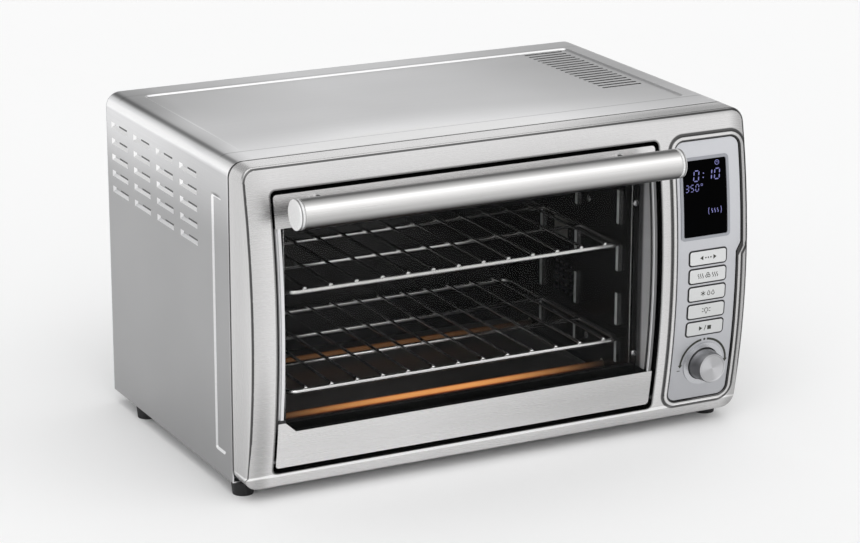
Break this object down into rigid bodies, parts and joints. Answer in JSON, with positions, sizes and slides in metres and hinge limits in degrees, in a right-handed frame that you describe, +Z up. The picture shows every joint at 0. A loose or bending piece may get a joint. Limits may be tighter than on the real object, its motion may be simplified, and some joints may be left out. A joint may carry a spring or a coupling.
{
  "type": "countertop toaster oven",
  "caption": "Boxy countertop oven with a bowed steel front, a drop-down glass door under a long bar handle, wire racks, rod heaters and a side control panel with display, keys and dial.",
  "frame": {"origin": "on the table, at the centre of the footprint of the whole oven, handle and rear spacers included", "axes": "+X to the right of someone facing the oven, +Y from the front to the back, +Z up"},
  "size_m": [0.48, 0.3598, 0.29],
  "materials": {
    "button_silver": "satin silver key caps",
    "black_enamel": "black vitreous enamel",
    "circuit_board": "green solder mask",
    "panel_silver": "satin silver paint",
    "tray_steel": "tinned steel sheet",
    "display_black": "gloss black window",
    "module_black": "matt black",
    "surround_grey": "satin grey plastic",
    "door_glass": "clear tempered glass",
    "frame_black": "black enamel",
    "trim_steel": "bright drawn stainless trim",
    "door_steel": "brushed stainless steel",
    "fan_aluminium": "plain aluminium",
    "black_rubber": "matt black rubber",
    "bezel_steel": "brushed stainless steel, horizontal grain",
    "seal_black": "black silicone",
    "handle_steel": "satin stainless tube",
    "cap_silver": "satin silver cap",
    "steatite": "unglazed steatite",
    "knob_metal": "spun aluminium",
    "ring_silver": "satin silver paint",
    "plain_steel": "plain steel",
    "lamp_glass": "frosted borosilicate glass",
    "heater_sheath": "oxidised heater sheath",
    "casing_steel": "brushed stainless steel sheet",
    "galvanised_sheet": "zinc coated sheet",
    "black_plastic": "matt black",
    "rack_chrome": "bright nickel-chrome wire"
  },
  "bodies": {
    "oven": {"base_pan": "galvanised_sheet", "button_switches": "module_black", "cavity_liner": "black_enamel", "control_board": "circuit_board", "control_panel": "panel_silver", "cord_bushing": "black_plastic", "display_lens": "display_black", "display_module": "module_black", "display_surround": "surround_grey", "encoder": "module_black", "fan_housing": "galvanised_sheet", "fan_motor": "galvanised_sheet", "flange_screws": "plain_steel", "foot_front_left": "black_rubber", "foot_front_right": "black_rubber", "foot_rear_left": "black_rubber", "foot_rear_right": "black_rubber", "front_bezel": "bezel_steel", "heater_insulators": "steatite", "hinge_brackets": "galvanised_sheet", "knob_ring": "ring_silver", "lamp_bulb": "lamp_glass", "lamp_holder": "galvanised_sheet", "lamp_lens": "lamp_glass", "lower_front_heater": "heater_sheath", "lower_rear_heater": "heater_sheath", "outer_casing": "casing_steel", "rear_panel": "galvanised_sheet", "rear_screws": "plain_steel", "rear_spacers": "black_plastic", "temperature_sensor": "plain_steel", "upper_front_heater": "heater_sheath", "upper_rear_heater": "heater_sheath"},
    "door": {"door_top_rail": "door_steel", "door_bottom_rail": "door_steel", "door_left_rail": "trim_steel", "door_right_rail": "trim_steel", "door_inner_frame": "frame_black", "door_glass": "door_glass", "glass_seals": "seal_black", "door_corner_clip": "black_plastic", "handle_bar": "handle_steel", "handle_end_caps": "cap_silver", "handle_posts": "plain_steel", "handle_screws": "plain_steel", "hinge_pins": "plain_steel", "hinge_blocks": "galvanised_sheet"},
    "dial": {"knob": "knob_metal", "knob_shaft": "plain_steel"},
    "upper_shelf": {"upper_rack": "rack_chrome"},
    "lower_shelf": {"lower_rack": "rack_chrome"},
    "tray": {"crumb_tray": "tray_steel"},
    "fan": {"fan_impeller": "fan_aluminium", "fan_shaft": "plain_steel"},
    "key_1": {"button_1": "button_silver"},
    "key_2": {"button_2": "button_silver"},
    "key_3": {"button_3": "button_silver"},
    "key_4": {"button_4": "button_silver"},
    "key_5": {"button_5": "button_silver"}
  },
  "joints": [
    {"name": "door_hinge", "type": "hinge", "parent": "oven", "child": "door", "pos_m": [-0.0325, -0.1201, 0.034], "axis": [1, 0, 0], "range_deg": [0, 80]},
    {"name": "dial_turn", "type": "hinge", "parent": "oven", "child": "dial", "pos_m": [0.1996, -0.1371, 0.062], "axis": [0, -1, 0], "continuous": true},
    {"name": "upper_rack_slide", "type": "slide", "parent": "oven", "child": "upper_shelf", "axis": [0, -1, 0], "range_m": [0, 0.14]},
    {"name": "lower_rack_slide", "type": "slide", "parent": "oven", "child": "lower_shelf", "axis": [0, -1, 0], "range_m": [0, 0.08]},
    {"name": "tray_slide", "type": "slide", "parent": "oven", "child": "tray", "axis": [0, 1, 0], "range_m": [0, 0.2]},
    {"name": "fan_spin", "type": "hinge", "parent": "oven", "child": "fan", "pos_m": [0.1515, 0.0174, 0.109], "axis": [1, 0, 0], "continuous": true},
    {"name": "key_1_press", "type": "slide", "parent": "oven", "child": "key_1", "axis": [0, 1, 0], "range_m": [0, 0.0012], "stiffness_N_per_m": 900},
    {"name": "key_2_press", "type": "slide", "parent": "oven", "child": "key_2", "axis": [0, 1, 0], "range_m": [0, 0.0012], "stiffness_N_per_m": 900},
    {"name": "key_3_press", "type": "slide", "parent": "oven", "child": "key_3", "axis": [0, 1, 0], "range_m": [0, 0.0012], "stiffness_N_per_m": 900},
    {"name": "key_4_press", "type": "slide", "parent": "oven", "child": "key_4", "axis": [0, 1, 0], "range_m": [0, 0.0012], "stiffness_N_per_m": 900},
    {"name": "key_5_press", "type": "slide", "parent": "oven", "child": "key_5", "axis": [0, 1, 0], "range_m": [0, 0.0012], "stiffness_N_per_m": 900}
  ],
  "couplings": [
    {"joint": "upper_rack_slide", "follows": "door_hinge", "m_per_rad": 0.098},
    {"joint": "lower_rack_slide", "follows": "door_hinge", "m_per_rad": 0.055}
  ]
}
